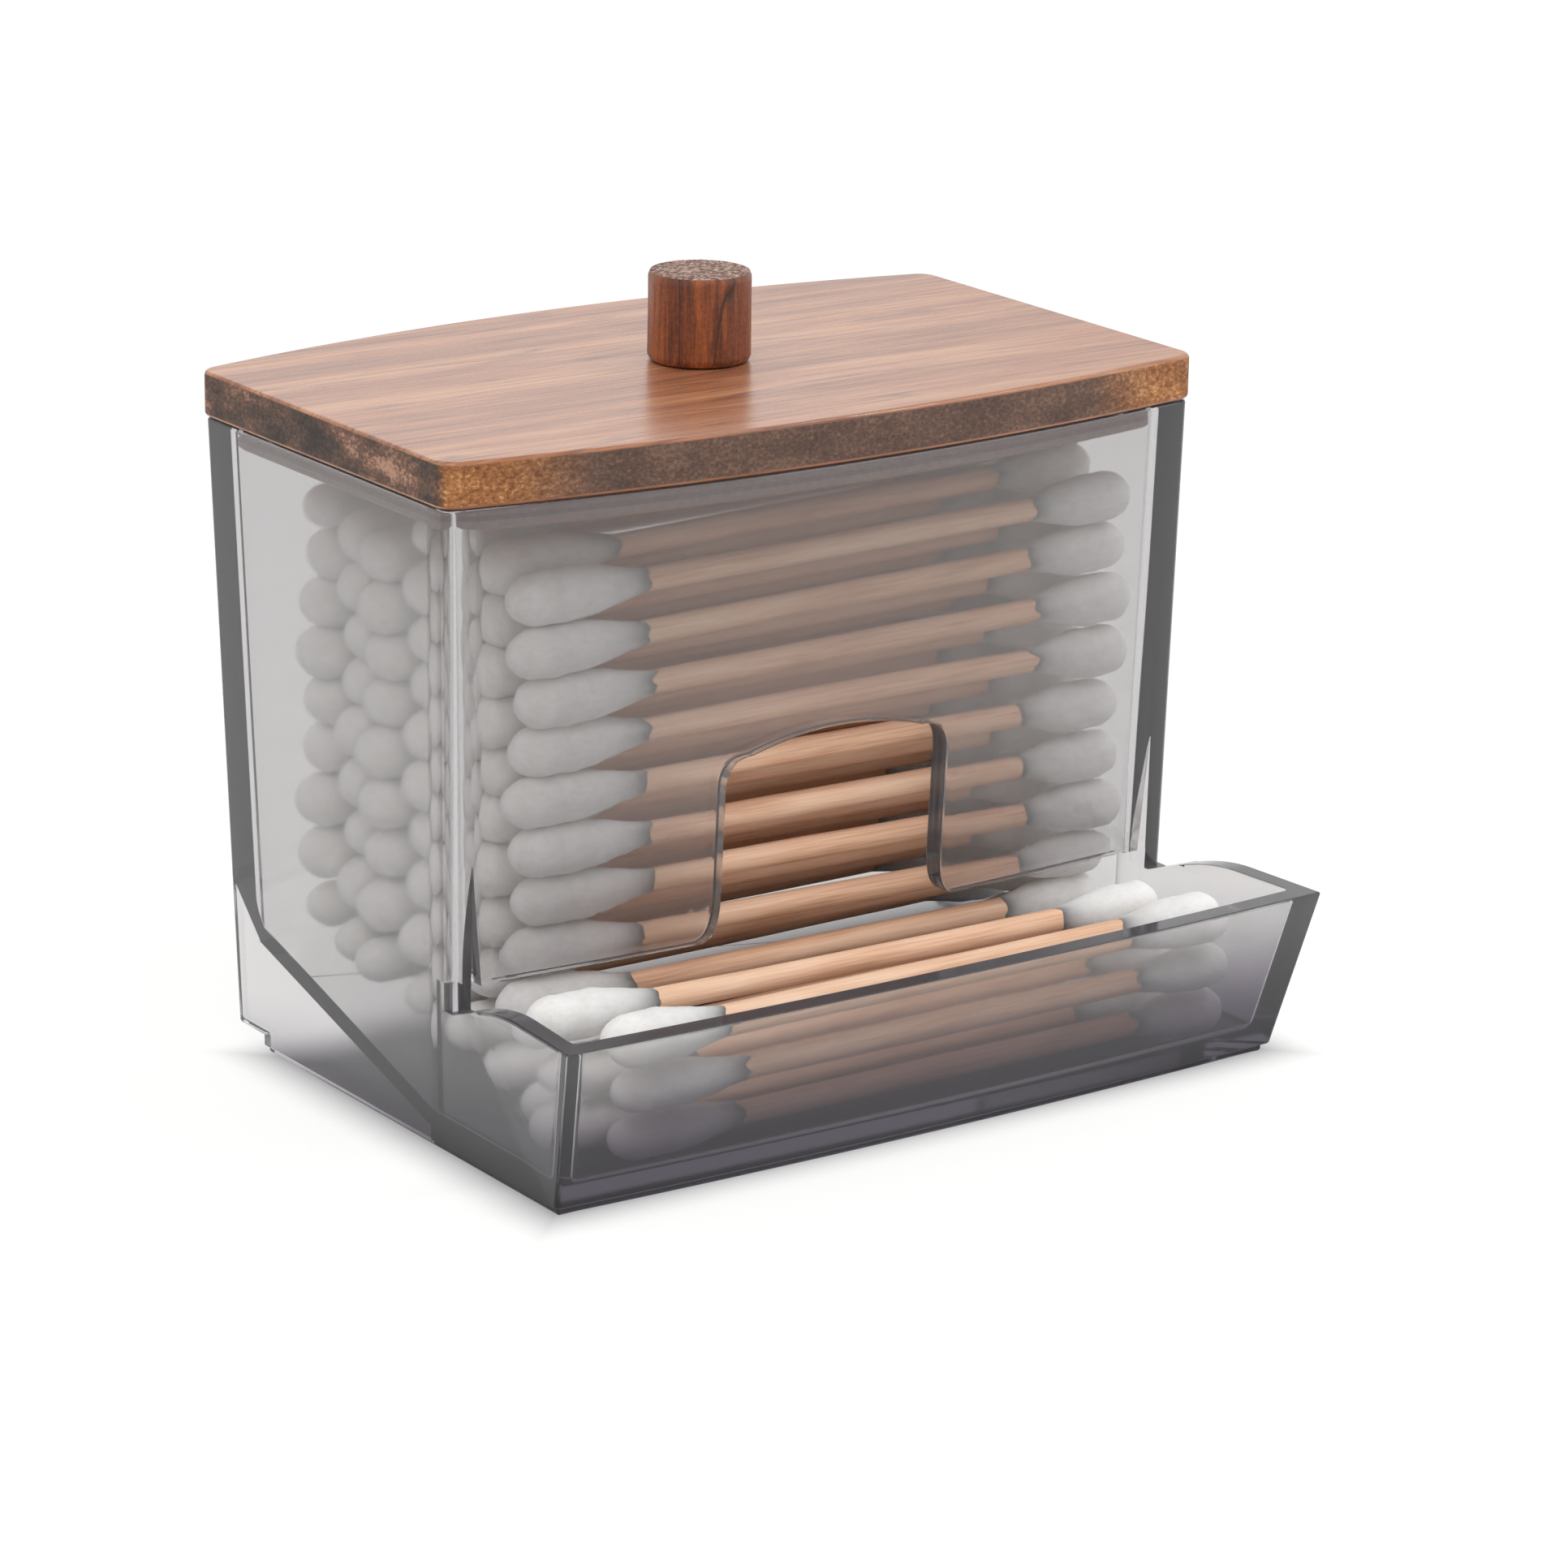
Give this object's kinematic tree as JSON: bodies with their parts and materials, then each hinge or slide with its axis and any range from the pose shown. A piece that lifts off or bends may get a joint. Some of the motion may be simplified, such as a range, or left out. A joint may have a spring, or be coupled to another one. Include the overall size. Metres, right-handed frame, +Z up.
{
  "type": "cotton swab dispenser",
  "caption": "Smoke tinted box that holds cotton swabs lying across it, with a sloping floor, a front tray with a finger notch above it, and a wooden lid that lifts off by a knob.",
  "frame": {"origin": "centre of the footprint, on the surface the dispenser stands on", "axes": "+X along the swabs to the right of someone facing the tray, -Y towards the tray at the front, +Z up"},
  "size_m": [0.092, 0.0764, 0.0799],
  "materials": {
    "smoke_plastic": "clear injection moulded plastic with a grey smoke tint, polished on both faces",
    "lid_wood": "fine straight grain along the length, clear satin lacquer, browner on the edges",
    "knob_wood": "dark reddish dowel, lacquered, rough sawn end",
    "silicone": "grey silicone seal, matt",
    "screw_steel": "zinc plated wood screw",
    "swab": "pale wooden stick with white cotton wound on both ends"
  },
  "bodies": {
    "dispenser": {"body": "smoke_plastic", "hopper_swab_1_1": "swab", "hopper_swab_1_10": "swab", "hopper_swab_1_2": "swab", "hopper_swab_1_3": "swab", "hopper_swab_1_4": "swab", "hopper_swab_1_5": "swab", "hopper_swab_1_6": "swab", "hopper_swab_1_7": "swab", "hopper_swab_1_8": "swab", "hopper_swab_1_9": "swab", "hopper_swab_2_1": "swab", "hopper_swab_2_10": "swab", "hopper_swab_2_2": "swab", "hopper_swab_2_3": "swab", "hopper_swab_2_4": "swab", "hopper_swab_2_5": "swab", "hopper_swab_2_6": "swab", "hopper_swab_2_7": "swab", "hopper_swab_2_8": "swab", "hopper_swab_2_9": "swab", "hopper_swab_3_1": "swab", "hopper_swab_3_10": "swab", "hopper_swab_3_2": "swab", "hopper_swab_3_3": "swab", "hopper_swab_3_4": "swab", "hopper_swab_3_5": "swab", "hopper_swab_3_6": "swab", "hopper_swab_3_7": "swab", "hopper_swab_3_8": "swab", "hopper_swab_3_9": "swab", "hopper_swab_5_1": "swab", "hopper_swab_5_2": "swab", "hopper_swab_5_3": "swab", "hopper_swab_5_4": "swab", "hopper_swab_5_5": "swab", "hopper_swab_5_6": "swab", "hopper_swab_5_7": "swab", "hopper_swab_5_8": "swab", "hopper_swab_5_9": "swab", "hopper_swab_6_1": "swab", "hopper_swab_6_2": "swab", "hopper_swab_6_3": "swab", "hopper_swab_6_4": "swab", "hopper_swab_6_5": "swab", "hopper_swab_6_6": "swab", "hopper_swab_6_7": "swab", "hopper_swab_6_8": "swab", "hopper_swab_6_9": "swab", "tray_swab_bottom_back": "swab", "tray_swab_bottom_front": "swab", "tray_swab_bottom_middle": "swab", "tray_swab_middle_back": "swab", "tray_swab_middle_front": "swab"},
    "lid": {"lid_board": "lid_wood", "lid_seal_ring": "silicone", "knob": "knob_wood", "knob_screw": "screw_steel"},
    "swab_front": {"tray_swab_top_front": "swab"},
    "swab_back": {"tray_swab_top_back": "swab"}
  },
  "joints": [
    {"name": "lid_lift", "type": "slide", "parent": "dispenser", "child": "lid", "axis": [0, 0, 1], "range_m": [0, 0.06]},
    {"name": "swab_front_lift", "type": "slide", "parent": "dispenser", "child": "swab_front", "axis": [0, 0, 1], "range_m": [0, 0.05]},
    {"name": "swab_back_lift", "type": "slide", "parent": "dispenser", "child": "swab_back", "axis": [0, 0, 1], "range_m": [0, 0.05]}
  ]
}
